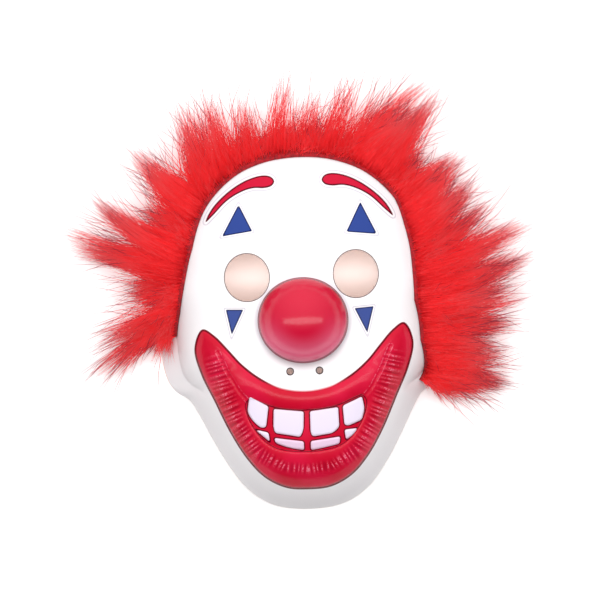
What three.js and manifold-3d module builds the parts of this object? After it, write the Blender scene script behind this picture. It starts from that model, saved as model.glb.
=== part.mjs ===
// A clown face mask lying on its back, face up: one vacuum-formed plastic shell with a ball nose,
// grinning mouth and brows raised in the sheet, and a strip of long fur glued round its flank.
// Millimetres. +X is the mask's left-to-right as a viewer sees it, +Y runs to the crown, +Z is the way it faces.
// The rim lies in the plane z = 0, and the origin is under the middle of the whole.
import * as THREE from "three";
import { mergeVertices } from "three/addons/utils/BufferGeometryUtils.js";
import Module from "manifold-3d";

const wasm = await Module();
wasm.setup();

// Shell
const wall = 1.0;
const rimHalfWidth = 94;
const chinDrop = 124;
const crownRise = 122;
const faceHeight = 58;
const flankPower = 3.0;
const chinSquareness = 1.6;
const flankRounding = 0.625;
const tabHeight = 13;
const tabWidthShare = 0.12;

// Features of the face, measured from the middle of the nose
const noseHalfWidth = 29;
const noseHalfHeight = 27.5;
const noseProud = 29.5;
const eyeSpacing = 70.4;
const eyeRise = 28.8;
const eyeWidth = 28.8;
const eyeHeight = 30.6;
const nostrilSpacing = 19;
const nostrilDrop = 32.8;
const nostrilWidth = 4.8;
const mouthHalfWidth = 71;
const mouthBottomDrop = 109.5;
const lipRise = 3.2;
const lipEdgeStep = 0.9;
const toothRise = 0.9;
const browSpread = 59;
const browHeight = 91.8;
const browWidth = 7.6;
const browRise = 1.6;
const innerMargin = 2.4;

// Fur strip
const gap = 0.3;
const pileDepth = 10;
const pileLength = 66;
const lockWidth = 21;
const lockThickness = 13;
const stripOuterShare = 0.975;
const stripStart = 186;
const stripEnd = -30;
const floorClearance = 0.3;

// How finely the shapes are divided
const rimSteps = 60;
const domeRings = 11;
const noseSteps = 24;
const noseRings = 6;
const lipSteps = 48;
const eyeSides = 28;
const nostrilSides = 10;
const stripSteps = 36;
const lockSides = 6;
const lockRings = 4;

// Right half of the rim, chin to crown. side is a share of rimHalfWidth, up of chinDrop or crownRise.
const rimTable = [
  { side: 0, up: -1 },
  { side: 0.25, up: -0.972 },
  { side: 0.425, up: -0.885 },
  { side: 0.557, up: -0.752 },
  { side: 0.665, up: -0.607 },
  { side: 0.742, up: -0.49 },
  { side: 0.81, up: -0.405 },
  { side: 0.897, up: -0.358 },
  { side: 0.948, up: -0.31 },
  { side: 0.98, up: -0.235 },
  { side: 0.997, up: -0.12 },
  { side: 1, up: 0.02 },
  { side: 0.96, up: 0.26 },
  { side: 0.893, up: 0.5 },
  { side: 0.76, up: 0.723 },
  { side: 0.54, up: 0.886 },
  { side: 0.28, up: 0.974 },
  { side: 0, up: 1 },
];

// Right half of the lips, lowest point round to the middle of the upper lip. The outer edge and the edge
// of the opening are paired row by row, as shares of mouthHalfWidth and mouthBottomDrop.
const lipTable = [
  { outSide: 0, outDrop: 1, inSide: 0, inDrop: 0.774 },
  { outSide: 0.2, outDrop: 0.988, inSide: 0.15, inDrop: 0.768 },
  { outSide: 0.395, outDrop: 0.922, inSide: 0.29, inDrop: 0.745 },
  { outSide: 0.55, outDrop: 0.81, inSide: 0.412, inDrop: 0.686 },
  { outSide: 0.69, outDrop: 0.658, inSide: 0.512, inDrop: 0.585 },
  { outSide: 0.832, outDrop: 0.458, inSide: 0.545, inDrop: 0.52 },
  { outSide: 0.942, outDrop: 0.3, inSide: 0.548, inDrop: 0.494 },
  { outSide: 0.995, outDrop: 0.145, inSide: 0.543, inDrop: 0.48 },
  { outSide: 0.92, outDrop: 0.038, inSide: 0.53, inDrop: 0.466 },
  { outSide: 0.815, outDrop: 0.078, inSide: 0.508, inDrop: 0.455 },
  { outSide: 0.69, outDrop: 0.166, inSide: 0.465, inDrop: 0.464 },
  { outSide: 0.577, outDrop: 0.25, inSide: 0.415, inDrop: 0.477 },
  { outSide: 0.403, outDrop: 0.34, inSide: 0.307, inDrop: 0.506 },
  { outSide: 0.218, outDrop: 0.394, inSide: 0.155, inDrop: 0.526 },
  { outSide: 0, outDrop: 0.415, inSide: 0, inDrop: 0.532 },
];

// Lip relief from the opening's edge (0) to the outer edge (1), as shares of lipRise.
const lipSection = [
  { across: 0, rise: 0 },
  { across: 0.1, rise: 0.72 },
  { across: 0.35, rise: 1 },
  { across: 0.68, rise: 0.95 },
  { across: 0.92, rise: 0.55 },
  { across: 1, rise: 0 },
];

// Right-hand teeth, each by its corners in order round it, as shares of mouthHalfWidth and mouthBottomDrop.
const toothTable = [
  { name: "upper_middle", corners: [[0.031, 0.542], [0.031, 0.684], [0.289, 0.66], [0.289, 0.525]] },
  { name: "upper_side", corners: [[0.335, 0.508], [0.345, 0.634], [0.5, 0.603], [0.532, 0.522], [0.5, 0.472]] },
  { name: "lower_middle", corners: [[0.028, 0.711], [0.028, 0.763], [0.293, 0.734], [0.298, 0.69]] },
  { name: "lower_side", corners: [[0.35, 0.662], [0.345, 0.714], [0.447, 0.646]] },
];

// Right brow from its round inner end to its tip, as shares of browSpread, browHeight and browWidth.
const browTable = [
  { side: 0.228, up: 1, width: 0.42 },
  { side: 0.255, up: 1.001, width: 0.85 },
  { side: 0.33, up: 1.003, width: 1 },
  { side: 0.53, up: 0.986, width: 0.92 },
  { side: 0.72, up: 0.924, width: 0.74 },
  { side: 0.88, up: 0.826, width: 0.5 },
  { side: 0.96, up: 0.762, width: 0.26 },
  { side: 0.995, up: 0.73, width: 0.08 },
];

// The strip's inner edge by bearing about the nose, as a share of the rim's reach there.
const stripEdge = [
  { bearing: 190, share: 0.885 },
  { bearing: 175, share: 0.85 },
  { bearing: 145, share: 0.826 },
  { bearing: 130, share: 0.845 },
  { bearing: 110, share: 0.862 },
  { bearing: 90, share: 0.866 },
  { bearing: 66, share: 0.872 },
  { bearing: 51, share: 0.87 },
  { bearing: 42, share: 0.843 },
  { bearing: 28, share: 0.815 },
  { bearing: 8, share: 0.778 },
  { bearing: -12, share: 0.81 },
  { bearing: -32, share: 0.915 },
];

// The long locks: bearings of root and tip about the nose, how far the tip passes the rim as a share of
// pileLength, width as a share of lockWidth, tip height as a share of faceHeight.
const longLocks = [
  { root: 182, tip: 195, reach: 0.66, width: 0.75, lift: 0.1 },
  { root: 176, tip: 184, reach: 0.54, width: 0.8, lift: 0.3 },
  { root: 166, tip: 171, reach: 0.28, width: 0.7, lift: 0.2 },
  { root: 156, tip: 161, reach: 0.94, width: 1, lift: 0.35 },
  { root: 149, tip: 149, reach: 0.72, width: 0.8, lift: 0.55 },
  { root: 141, tip: 142, reach: 0.3, width: 0.75, lift: 0.2 },
  { root: 131, tip: 133.8, reach: 0.62, width: 0.9, lift: 0.45 },
  { root: 122, tip: 119, reach: 0.58, width: 0.95, lift: 0.4 },
  { root: 114, tip: 111.5, reach: 0.52, width: 0.8, lift: 0.62 },
  { root: 105, tip: 103, reach: 0.44, width: 0.8, lift: 0.4 },
  { root: 96, tip: 91.5, reach: 0.62, width: 0.6, lift: 0.6 },
  { root: 88, tip: 86, reach: 0.36, width: 0.8, lift: 0.4 },
  { root: 79, tip: 75.5, reach: 0.63, width: 0.7, lift: 0.66 },
  { root: 73, tip: 68, reach: 0.5, width: 0.85, lift: 0.4 },
  { root: 66, tip: 58.5, reach: 0.75, width: 1.05, lift: 0.55 },
  { root: 55, tip: 54, reach: 0.26, width: 0.8, lift: 0.2 },
  { root: 47, tip: 44, reach: 0.5, width: 0.85, lift: 0.45 },
  { root: 38, tip: 36.5, reach: 0.52, width: 0.9, lift: 0.6 },
  { root: 29, tip: 29, reach: 0.55, width: 0.85, lift: 0.3 },
  { root: 21, tip: 21.5, reach: 0.91, width: 0.9, lift: 0.45 },
  { root: 12, tip: 13.8, reach: 0.86, width: 0.95, lift: 0.3 },
  { root: 3, tip: 5.5, reach: 0.68, width: 0.9, lift: 0.5 },
  { root: -6, tip: -3, reach: 0.6, width: 0.85, lift: 0.25 },
  { root: -14, tip: -10, reach: 0.54, width: 0.95, lift: 0.38 },
  { root: -21, tip: -18.5, reach: 0.55, width: 1, lift: 0.22 },
  { root: -26, tip: -24.5, reach: 0.34, width: 0.8, lift: 0.1 },
];

// Section of the short pile under the locks, from the inner edge of the strip (0) to the outer (1), its depth
// as a share of pileDepth.
const pileSection = [
  { across: 0, depth: 0.3 },
  { across: 0.12, depth: 0.95 },
  { across: 0.5, depth: 1 },
  { across: 1, depth: 0.9 },
];

// A row of short locks along the strip's outer edge: place across the strip, reach as a share of pileLength
// and how much it varies, width as a share of lockWidth, lift of faceHeight, and spacing in degrees.
const edgeRow = { across: 0.8, reach: 0.38, vary: 0.12, lift: 0.1, width: 0.95, spacing: 9.5, offset: 7 };

const smooth = (t) => t * t * (3 - 2 * t);
const ramp = (value, from, to) => smooth(THREE.MathUtils.clamp((value - from) / (to - from), 0, 1));

// A table read at a key between its rows, which fall or rise steadily
function readTable(rows, key, column, at) {
  const ordered = rows[0][key] < rows[rows.length - 1][key] ? rows : [...rows].reverse();
  const next = Math.max(1, ordered.findIndex((row) => row[key] >= at));
  const last = at > ordered[ordered.length - 1][key] ? ordered.length - 1 : next;
  const [low, high] = [ordered[last - 1], ordered[last]];
  const t = THREE.MathUtils.clamp((at - low[key]) / (high[key] - low[key]), 0, 1);
  return THREE.MathUtils.lerp(low[column], high[column], t);
}

// A half outline and its mirror image as one closed smooth curve, starting at the half's first point
function mirroredCurve(half) {
  const back = half.slice(1, -1).reverse();
  const points = [...half, ...back.map(([x, y]) => [-x, y])];
  return new THREE.CatmullRomCurve3(points.map(([x, y]) => new THREE.Vector3(x, y, 0)), true);
}

const rimCurve = mirroredCurve(
  rimTable.map(({ side, up }) => [side * rimHalfWidth, up * (up < 0 ? chinDrop : crownRise)]),
);
const rimSamples = 720;
const rimPolar = Array.from({ length: rimSamples }, (_, i) => {
  const point = rimCurve.getPoint(i / rimSamples);
  const bearing = THREE.MathUtils.radToDeg(Math.atan2(point.y, point.x));
  return { bearing: (bearing + 450) % 360, reach: Math.hypot(point.x, point.y) };
}).sort((a, b) => a.bearing - b.bearing);
const rimRound = [
  { bearing: rimPolar[rimSamples - 1].bearing - 360, reach: rimPolar[rimSamples - 1].reach },
  ...rimPolar,
  { bearing: rimPolar[0].bearing + 360, reach: rimPolar[0].reach },
];

// How far the rim lies from the middle of the nose at a bearing in degrees, 0 to the right, 90 to the crown
function rimReach(bearing) {
  return readTable(rimRound, "bearing", "reach", (((bearing + 90) % 360) + 360) % 360);
}

// Height of the smooth face at a bearing and a share of the way to the rim. The sides end in a flatter tab.
function domeHeight(bearing, share) {
  const up = Math.sin(THREE.MathUtils.degToRad(bearing));
  const power = flankPower + chinSquareness * ramp(-up, 0.3, 1);
  const crown = (reach) => Math.max(0, 1 - reach ** power) ** flankRounding;
  const plain = faceHeight * crown(share);
  const tab = ramp(-up, -0.35, 0.05) * ramp(up, -0.62, -0.4);
  const foot = 1 - tabWidthShare;
  const wallPart = tabHeight + (faceHeight - tabHeight) * crown(Math.min(1, share / foot));
  const tabPart = (tabHeight * (1 - share)) / tabWidthShare;
  return THREE.MathUtils.lerp(plain, share < foot ? wallPart : tabPart, tab);
}

function polarPoint(bearing, reach, z) {
  const angle = THREE.MathUtils.degToRad(bearing);
  return new THREE.Vector3(reach * Math.cos(angle), reach * Math.sin(angle), z);
}

function domePoint(bearing, share) {
  return polarPoint(bearing, share * rimReach(bearing), domeHeight(bearing, share));
}

// The face's outward normal, from two short steps on the dome
function domeNormal(bearing, share) {
  const step = 0.004;
  const inner = THREE.MathUtils.clamp(share - step, step, 1 - 2 * step);
  const along = domePoint(bearing, inner + 2 * step).sub(domePoint(bearing, inner));
  const around = domePoint(bearing + 1, inner + step).sub(domePoint(bearing - 1, inner + step));
  return new THREE.Vector3().crossVectors(along, around).normalize();
}

// A point on the face over a place in plan, raised by rise and moved in along the normal by inset
function facePoint(x, y, rise, inset) {
  const bearing = THREE.MathUtils.radToDeg(Math.atan2(y, x));
  const share = Math.min(0.995, Math.hypot(x, y) / rimReach(bearing));
  const point = new THREE.Vector3(x, y, domeHeight(bearing, share) + rise);
  return point.addScaledVector(domeNormal(bearing, share), -inset);
}

function solidOf(points, triangles) {
  const geometry = new THREE.BufferGeometry().setFromPoints(points);
  geometry.setIndex(triangles);
  const merged = mergeVertices(geometry, 1e-3);
  const mesh = new wasm.Mesh({
    numProp: 3,
    vertProperties: merged.attributes.position.array,
    triVerts: new Uint32Array(merged.index.array),
  });
  return new wasm.Manifold(mesh);
}

// Rings of as many points each, joined in order, each running counterclockwise as seen from the ring before.
// Open ends are closed by rungs from side to side.
function loftedSolid(rings, endless = false) {
  const count = rings[0].length;
  const triangles = [];
  const quad = (a, b, c, d) => triangles.push(a, b, c, a, c, d);
  const joins = endless ? rings.length : rings.length - 1;
  for (let r = 0; r < joins; r++) {
    const next = ((r + 1) % rings.length) * count;
    for (let i = 0; i < count; i++) {
      const j = (i + 1) % count;
      quad(r * count + i, next + i, next + j, r * count + j);
    }
  }
  const last = (rings.length - 1) * count;
  for (let i = 0; !endless && i < count / 2 - 1; i++) {
    quad(i, i + 1, count - 2 - i, count - 1 - i);
    quad(last + i + 1, last + i, last + count - 1 - i, last + count - 2 - i);
  }
  return solidOf(rings.flat(), triangles);
}

function boxSolid(width, height, z0, z1) {
  const box = new THREE.BoxGeometry(width, height, z1 - z0).translate(0, 0, (z0 + z1) / 2);
  box.deleteAttribute("normal");
  box.deleteAttribute("uv");
  const merged = mergeVertices(box);
  const points = [];
  for (let i = 0; i < merged.attributes.position.count; i++) {
    points.push(new THREE.Vector3().fromBufferAttribute(merged.attributes.position, i));
  }
  return solidOf(points, Array.from(merged.index.array));
}

// The smooth face down to the rim, moved in by inset, and carried on down to the foot
function domeSolid(inset, foot) {
  const rings = [];
  for (let r = 1; r <= domeRings; r++) {
    const share = Math.sin((Math.PI / 2) * (r / domeRings));
    rings.push(
      Array.from({ length: rimSteps }, (_, i) => {
        const bearing = -90 + ((i + 0.5) * 360) / rimSteps;
        return domePoint(bearing, share).addScaledVector(domeNormal(bearing, share), -inset);
      }),
    );
  }
  const rim = rings[rings.length - 1];
  rings.push(rim.map((point) => new THREE.Vector3(point.x, point.y, foot)));
  return loftedSolid(rings);
}

// The ball nose, moved in by inset, with a skirt that goes into the face
function noseSolid(inset) {
  const seat = domeHeight(0, noseHalfWidth / rimHalfWidth);
  const rings = [];
  for (let r = 1; r <= noseRings; r++) {
    const tilt = (Math.PI / 2) * (r / noseRings);
    rings.push(
      Array.from({ length: noseSteps }, (_, i) => {
        const angle = ((i + 0.5) * 2 * Math.PI) / noseSteps;
        return new THREE.Vector3(
          (noseHalfWidth - inset) * Math.sin(tilt) * Math.cos(angle),
          (noseHalfHeight - inset) * Math.sin(tilt) * Math.sin(angle),
          seat + (noseProud - inset) * Math.cos(tilt),
        );
      }),
    );
  }
  const skirt = 3 * wall + inset;
  rings.push(rings[noseRings - 1].map((point) => new THREE.Vector3(point.x, point.y, seat - skirt)));
  return loftedSolid(rings);
}

const lipOuter = mirroredCurve(
  lipTable.map(({ outSide, outDrop }) => [outSide * mouthHalfWidth, -outDrop * mouthBottomDrop]),
);
const lipInner = mirroredCurve(
  lipTable.map(({ inSide, inDrop }) => [inSide * mouthHalfWidth, -inDrop * mouthBottomDrop]),
);

// The lips: a band round the mouth's opening, raised on the face
function lipsSolid(inset) {
  const rings = [];
  for (let i = 0; i < lipSteps; i++) {
    const inner = lipInner.getPoint(i / lipSteps);
    const outer = lipOuter.getPoint(i / lipSteps);
    const margin = (innerMargin * inset) / inner.distanceTo(outer);
    const top = lipSection.map(({ across, rise }) => {
      const place = inner.clone().lerp(outer, THREE.MathUtils.lerp(margin, 1 - margin, across));
      return facePoint(place.x, place.y, lipEdgeStep + (lipRise - lipEdgeStep) * rise, inset);
    });
    const root = lipSection.map(({ across }) => {
      const place = inner.clone().lerp(outer, THREE.MathUtils.lerp(margin, 1 - margin, across));
      return facePoint(place.x, place.y, -2 * wall, inset);
    });
    rings.push([...root, ...top.reverse()]);
  }
  return loftedSolid(rings, true);
}

// A brow: a tapering raised bar along its middle line. side is 1 for the right one and -1 for the left.
function browSolid(side, inset) {
  const middle = new THREE.CatmullRomCurve3(
    browTable.map((row) => new THREE.Vector3(row.side * browSpread, row.up * browHeight, 0)),
  );
  const section = [-1, -0.6, 0.6, 1];
  const rises = [0.35, 1, 1, 0.35];
  const wholeLength = browTable.map((row, i) => ({ width: row.width, along: i / (browTable.length - 1) }));
  const rings = (inset > 0 ? wholeLength.slice(1, -2) : wholeLength).map(({ width, along }) => {
    const place = middle.getPoint(along);
    const way = middle.getTangent(along);
    const half = (width * browWidth) / 2 - inset;
    const at = (across, rise, depth) =>
      facePoint(side * (place.x - way.y * half * across), place.y + way.x * half * across, rise - depth, inset);
    const top = section.map((across, k) => at(across, rises[k] * browRise, 0));
    const root = section.map((across) => at(across, 0, 2 * wall));
    return [...top, ...root.reverse()];
  });
  return loftedSolid(side > 0 ? rings : rings.reverse());
}

// A tooth: a low flat pad on the face within the mouth
function toothSolid(corners, side) {
  const places = corners.map(([x, y]) => [side * x * mouthHalfWidth, -y * mouthBottomDrop]);
  const order = side > 0 ? places : [...places].reverse();
  const contour = order.map(([x, y]) => new THREE.Vector2(x, y));
  const count = order.length;
  const points = [
    ...order.map(([x, y]) => facePoint(x, y, toothRise, 0)),
    ...order.map(([x, y]) => facePoint(x, y, -wall / 2, 0)),
  ];
  const triangles = [];
  for (const [a, b, c] of THREE.ShapeUtils.triangulateShape(contour, [])) {
    triangles.push(a, b, c, count + a, count + c, count + b);
  }
  for (let i = 0; i < count; i++) {
    const j = (i + 1) % count;
    triangles.push(i, count + i, count + j, i, count + j, j);
  }
  return solidOf(points, triangles);
}

// An upright oval rod through the face
function rodSolid(x, y, width, height, sides) {
  const ring = (z) =>
    Array.from({ length: sides }, (_, i) => {
      const angle = ((i + 0.5) * 2 * Math.PI) / sides;
      return new THREE.Vector3(x + (width / 2) * Math.cos(angle), y + (height / 2) * Math.sin(angle), z);
    });
  return loftedSolid([ring(faceHeight + noseProud), ring(faceHeight / 4)]);
}

function oriented(solid) {
  if (solid.volume() < 0) throw new Error("a solid is inside out");
  return solid;
}

const sides = [-1, 1];

function faceShell() {
  let outer = domeSolid(0, -wall).add(noseSolid(0)).add(lipsSolid(0));
  let inner = domeSolid(wall, -3 * wall).add(noseSolid(wall)).add(lipsSolid(wall));
  for (const side of sides) {
    outer = outer.add(browSolid(side, 0));
    inner = inner.add(browSolid(side, wall));
    for (const { corners } of toothTable) outer = outer.add(toothSolid(corners, side));
  }
  let shell = oriented(outer).subtract(oriented(inner));
  const deep = 4 * crownRise;
  shell = shell.subtract(boxSolid(deep, deep, -20 * wall, 0));
  for (const side of sides) {
    shell = shell.subtract(rodSolid((side * eyeSpacing) / 2, eyeRise, eyeWidth, eyeHeight, eyeSides));
    shell = shell.subtract(rodSolid((side * nostrilSpacing) / 2, -nostrilDrop, nostrilWidth, nostrilWidth, nostrilSides));
  }
  return shell;
}

function stripShare(bearing, across) {
  return THREE.MathUtils.lerp(readTable(stripEdge, "bearing", "share", bearing), stripOuterShare, across);
}

// A point over the flank within the strip, at a depth above the shell's surface
function stripPoint(bearing, across, above) {
  const share = stripShare(bearing, across);
  return domePoint(bearing, share).addScaledVector(domeNormal(bearing, share), above);
}

// The short dense pile on its cloth, with its underside left inside the shell to be cut away
function pileSolid() {
  const rings = Array.from({ length: stripSteps + 1 }, (_, i) => {
    const bearing = THREE.MathUtils.lerp(stripStart, stripEnd, i / stripSteps);
    const top = pileSection.map(({ across, depth }) => stripPoint(bearing, across, depth * pileDepth));
    const under = pileSection.map(({ across }) => stripPoint(bearing, across, -wall / 2));
    return [...top, ...under.reverse()];
  });
  return loftedSolid(rings);
}

// A lock of fur: a flattened tapering horn from the pile out over the rim to its tip
function lockSolid({ root, tip, reach, width, lift, across = 0.45 }) {
  const start = stripPoint(root, across, pileDepth / 4);
  const end = polarPoint(tip, rimReach(tip) + reach * pileLength, Math.max(2, lift * faceHeight));
  const swell = stripPoint(root, across, (0.25 + 0.35 * reach) * pileLength);
  swell.z = Math.max(swell.z * 0.5 + end.z * 0.5, lockThickness * 0.4);
  const path = new THREE.QuadraticBezierCurve3(start, swell, end);
  const rings = Array.from({ length: lockRings }, (_, r) => {
    const t = r / (lockRings - 1);
    const centre = path.getPoint(t);
    const way = path.getTangent(t);
    const flat = new THREE.Vector3().crossVectors(way, new THREE.Vector3(0, 0, 1)).normalize();
    const up = new THREE.Vector3().crossVectors(flat, way).normalize();
    const taper = (0.8 + 0.9 * t) * (1 - t) ** 0.7 + 0.05;
    return Array.from({ length: lockSides }, (_, i) => {
      const angle = ((i + 0.5) * 2 * Math.PI) / lockSides;
      return centre
        .clone()
        .addScaledVector(flat, (Math.cos(angle) * taper * width * lockWidth) / 2)
        .addScaledVector(up, (Math.sin(angle) * taper * Math.sqrt(width) * lockThickness) / 2);
    });
  });
  return loftedSolid(rings);
}

function furStrip() {
  let fur = oriented(pileSolid());
  for (const lock of longLocks) fur = fur.add(oriented(lockSolid(lock)));
  for (let root = stripStart - edgeRow.offset; root > stripEnd + edgeRow.offset; root -= edgeRow.spacing) {
    const reach = edgeRow.reach + edgeRow.vary * Math.sin(root);
    fur = fur.add(oriented(lockSolid({ ...edgeRow, reach, root, tip: root })));
  }
  const deep = 8 * crownRise;
  const floor = boxSolid(deep, deep, -faceHeight, floorClearance);
  return fur.subtract(domeSolid(-gap, -faceHeight / 2)).subtract(floor);
}

function namedMesh(name, solid, material) {
  const { vertProperties, triVerts } = solid.getMesh();
  const geometry = new THREE.BufferGeometry();
  geometry.setAttribute("position", new THREE.BufferAttribute(new Float32Array(vertProperties), 3));
  geometry.setIndex(Array.from(triVerts));
  geometry.computeVertexNormals();
  const mesh = new THREE.Mesh(geometry, material);
  mesh.name = name;
  return mesh;
}

const whitePlastic = new THREE.MeshStandardMaterial({ color: 0xf6f4f2, roughness: 0.35, metalness: 0 });
const redFur = new THREE.MeshStandardMaterial({ color: 0xd8161c, roughness: 0.85, metalness: 0 });

const mask = new THREE.Group();
mask.add(namedMesh("face_shell", faceShell(), whitePlastic));
mask.add(namedMesh("fur_strip", furStrip(), redFur));

const extent = new THREE.Box3().setFromObject(mask);
const middle = extent.getCenter(new THREE.Vector3());
mask.position.set(-middle.x, -middle.y, 0);

export default mask;
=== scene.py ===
import math

import bpy
import numpy as np
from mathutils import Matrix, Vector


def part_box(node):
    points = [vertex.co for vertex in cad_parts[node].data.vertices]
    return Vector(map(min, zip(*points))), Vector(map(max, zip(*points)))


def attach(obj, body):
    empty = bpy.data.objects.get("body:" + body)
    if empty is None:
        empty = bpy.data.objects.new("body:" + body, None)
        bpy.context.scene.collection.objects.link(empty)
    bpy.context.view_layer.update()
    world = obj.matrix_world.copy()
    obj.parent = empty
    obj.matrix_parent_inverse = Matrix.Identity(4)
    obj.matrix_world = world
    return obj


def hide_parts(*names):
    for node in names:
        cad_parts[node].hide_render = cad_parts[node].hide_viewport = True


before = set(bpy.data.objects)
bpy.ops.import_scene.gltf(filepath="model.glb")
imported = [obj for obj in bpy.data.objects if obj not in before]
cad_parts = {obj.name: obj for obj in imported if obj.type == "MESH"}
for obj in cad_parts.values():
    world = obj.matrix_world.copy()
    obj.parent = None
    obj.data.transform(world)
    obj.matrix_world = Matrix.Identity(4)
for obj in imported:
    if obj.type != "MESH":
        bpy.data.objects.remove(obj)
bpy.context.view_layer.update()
print("frame loaded")


# general helpers; all lengths are in millimetres until they reach a mesh

def smooth(values, start, stop):
    # 0 below start, 1 above stop, 3t^2 - 2t^3 between them
    t = np.clip((values - start) / (stop - start), 0, 1)
    return t * t * (3 - 2 * t)


def blendOf(a, b, share):
    # a where the share is 0, b where it is 1, and straight between them
    return a + (b - a) * share


def bezier(start, middle, end, t):
    # (1 - t)^2 start + 2 t (1 - t) middle + t^2 end
    return (1 - t) ** 2 * start + 2 * t * (1 - t) * middle + t**2 * end


def column(table, name):
    # one named column of a table whose first row holds the names
    place = table[0].index(name)
    return np.array([row[place] for row in table[1:]], float)


def closedCurve(x, y, steps):
    # centripetal Catmull-Rom loop through the points, sampled evenly in its parameter
    points = np.stack([x, y], 1)
    count = len(points)
    along = np.arange(steps) * count / steps
    cell = along.astype(int)
    t = (along - cell)[:, None]
    p0, p1, p2, p3 = (points[(cell + k) % count] for k in (-1, 0, 1, 2))
    d0, d1, d2 = (np.linalg.norm(b - a, axis=1)[:, None] ** 0.5 for a, b in ((p0, p1), (p1, p2), (p2, p3)))
    m1 = ((p1 - p0) / d0 - (p2 - p0) / (d0 + d1) + (p2 - p1) / d1) * d1
    m2 = ((p2 - p1) / d1 - (p3 - p1) / (d1 + d2) + (p3 - p2) / d2) * d1
    return p1 + m1 * t + (3 * (p2 - p1) - 2 * m1 - m2) * t**2 + (2 * (p1 - p2) + m1 + m2) * t**3


def mirrored(x, y):
    # a right half outline and its mirror image as one loop
    return np.concatenate([x, -x[-2:0:-1]]), np.concatenate([y, y[-2:0:-1]])


def pathDistance(x, y, path, closed=False):
    # distance from each point to the nearest part of a path, and the length along the path there
    ends = np.roll(path, -1, 0) if closed else path[1:]
    starts = path if closed else path[:-1]
    lengths = np.linalg.norm(ends - starts, axis=1)
    before = np.concatenate([[0], np.cumsum(lengths)])[:-1]
    best, where = np.full(x.shape, 1e9), np.zeros(x.shape)
    for a, b, length, start in zip(starts, ends, lengths, before):
        ux, uy = (b - a) / length
        t = np.clip((x - a[0]) * ux + (y - a[1]) * uy, 0, length)
        far = np.hypot(x - a[0] - t * ux, y - a[1] - t * uy)
        nearer = far < best
        best, where = np.where(nearer, far, best), np.where(nearer, start + t, where)
    return best, where


def loopField(x, y, loop):
    # distance to a closed loop, above 0 inside it and below 0 outside it
    nextX, nextY = np.roll(loop[:, 0], -1), np.roll(loop[:, 1], -1)
    crossings = np.zeros(x.shape, int)
    for ax, ay, bx, by in zip(loop[:, 0], loop[:, 1], nextX, nextY):
        if ay != by:
            crossings += ((ay > y) != (by > y)) & (x < ax + (y - ay) * (bx - ax) / (by - ay))
    return np.where(crossings % 2 == 1, 1, -1) * pathDistance(x, y, loop, closed=True)[0]


def gridFaces(rows, columns, first=0, closed=True):
    # quads of a grid of rows by columns of points numbered from first, each row joined to the next
    r, c = np.meshgrid(np.arange(rows - 1), np.arange(columns if closed else columns - 1), indexing="ij")
    a, b = first + r * columns + c, first + r * columns + (c + 1) % columns
    return np.stack([a, a + columns, b + columns, b], -1).reshape(-1, 4)


def addPiece(name, points, faceSets, material):
    # a smooth mesh object in metres, from points in millimetres and arrays of faces
    mesh = bpy.data.meshes.new(name)
    corners = np.concatenate([faces.ravel() for faces in faceSets]).astype(np.int32)
    sizes = np.concatenate([np.full(len(faces), faces.shape[1]) for faces in faceSets])
    mesh.vertices.add(len(points))
    mesh.vertices.foreach_set("co", (np.asarray(points) / 1000).astype(np.float32).ravel())
    mesh.loops.add(len(corners))
    mesh.loops.foreach_set("vertex_index", corners)
    mesh.polygons.add(len(sizes))
    mesh.polygons.foreach_set("loop_start", np.concatenate([[0], np.cumsum(sizes)[:-1]]).astype(np.int32))
    mesh.update(calc_edges=True)
    mesh.shade_smooth()
    if material:
        mesh.materials.append(material)
    piece = bpy.data.objects.new(name, mesh)
    bpy.context.scene.collection.objects.link(piece)
    return piece


# shader nodes written as sums

class Wire:
    # one output socket of a node tree; sums and products of wires add Math nodes
    def __init__(self, tree, socket):
        self.tree, self.socket = tree, socket

    def node(self, kind, settings=None, inputs=None, output=0):
        # any node: its type, its settings, which go first, and the values or links of its sockets
        made = self.tree.nodes.new(kind)
        for name, value in (settings or {}).items():
            setattr(made, name, value)
        for name, value in (inputs or {}).items():
            if isinstance(value, Wire):
                self.tree.links.new(value.socket, made.inputs[name])
            else:
                made.inputs[name].default_value = value
        return Wire(self.tree, made.outputs[output] if len(made.outputs) else None)

    def maths(self, operation, first, second):
        # one Math node
        return self.node("ShaderNodeMath", {"operation": operation}, {0: first, 1: second})

    def __add__(self, other):
        return self.maths("ADD", self, other)

    def __radd__(self, other):
        return self.maths("ADD", other, self)

    def __sub__(self, other):
        return self.maths("SUBTRACT", self, other)

    def __rsub__(self, other):
        return self.maths("SUBTRACT", other, self)

    def __mul__(self, other):
        return self.maths("MULTIPLY", self, other)

    def __rmul__(self, other):
        return self.maths("MULTIPLY", other, self)

    def magnitude(self):
        return self.maths("ABSOLUTE", self, 0.0)

    def most(self, other):
        return self.maths("MAXIMUM", self, other)

    def rise(self, start, stop):
        # 0 below start and 1 above stop, or the other way round when start is above stop
        return self.node("ShaderNodeMapRange", {"interpolation_type": "SMOOTHSTEP"},
                         {"Value": self, "From Min": start, "From Max": stop, "To Min": 0.0, "To Max": 1.0})

    def colour(self, low, high):
        # low where this wire is 0 and high where it is 1
        return self.node("ShaderNodeMix", {"data_type": "RGBA"}, {0: self, 6: low, 7: high}, 2)


def rgb(red, green, blue):
    # a colour as a picture shows it, 0 to 255, in the shader's linear scale
    parts = np.array([red, green, blue]) / 255
    linear = np.where(parts > 0.04045, ((parts + 0.055) / 1.055) ** 2.4, parts / 12.92)
    return (*linear.tolist(), 1.0)


def newMaterial(name):
    # an empty material, and a wire whose node method adds nodes to it
    material = bpy.data.materials.new(name)
    material.use_nodes = True
    tree = material.node_tree
    tree.nodes.clear()
    return material, Wire(tree, None)


# the form of the face, as in the solids

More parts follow.
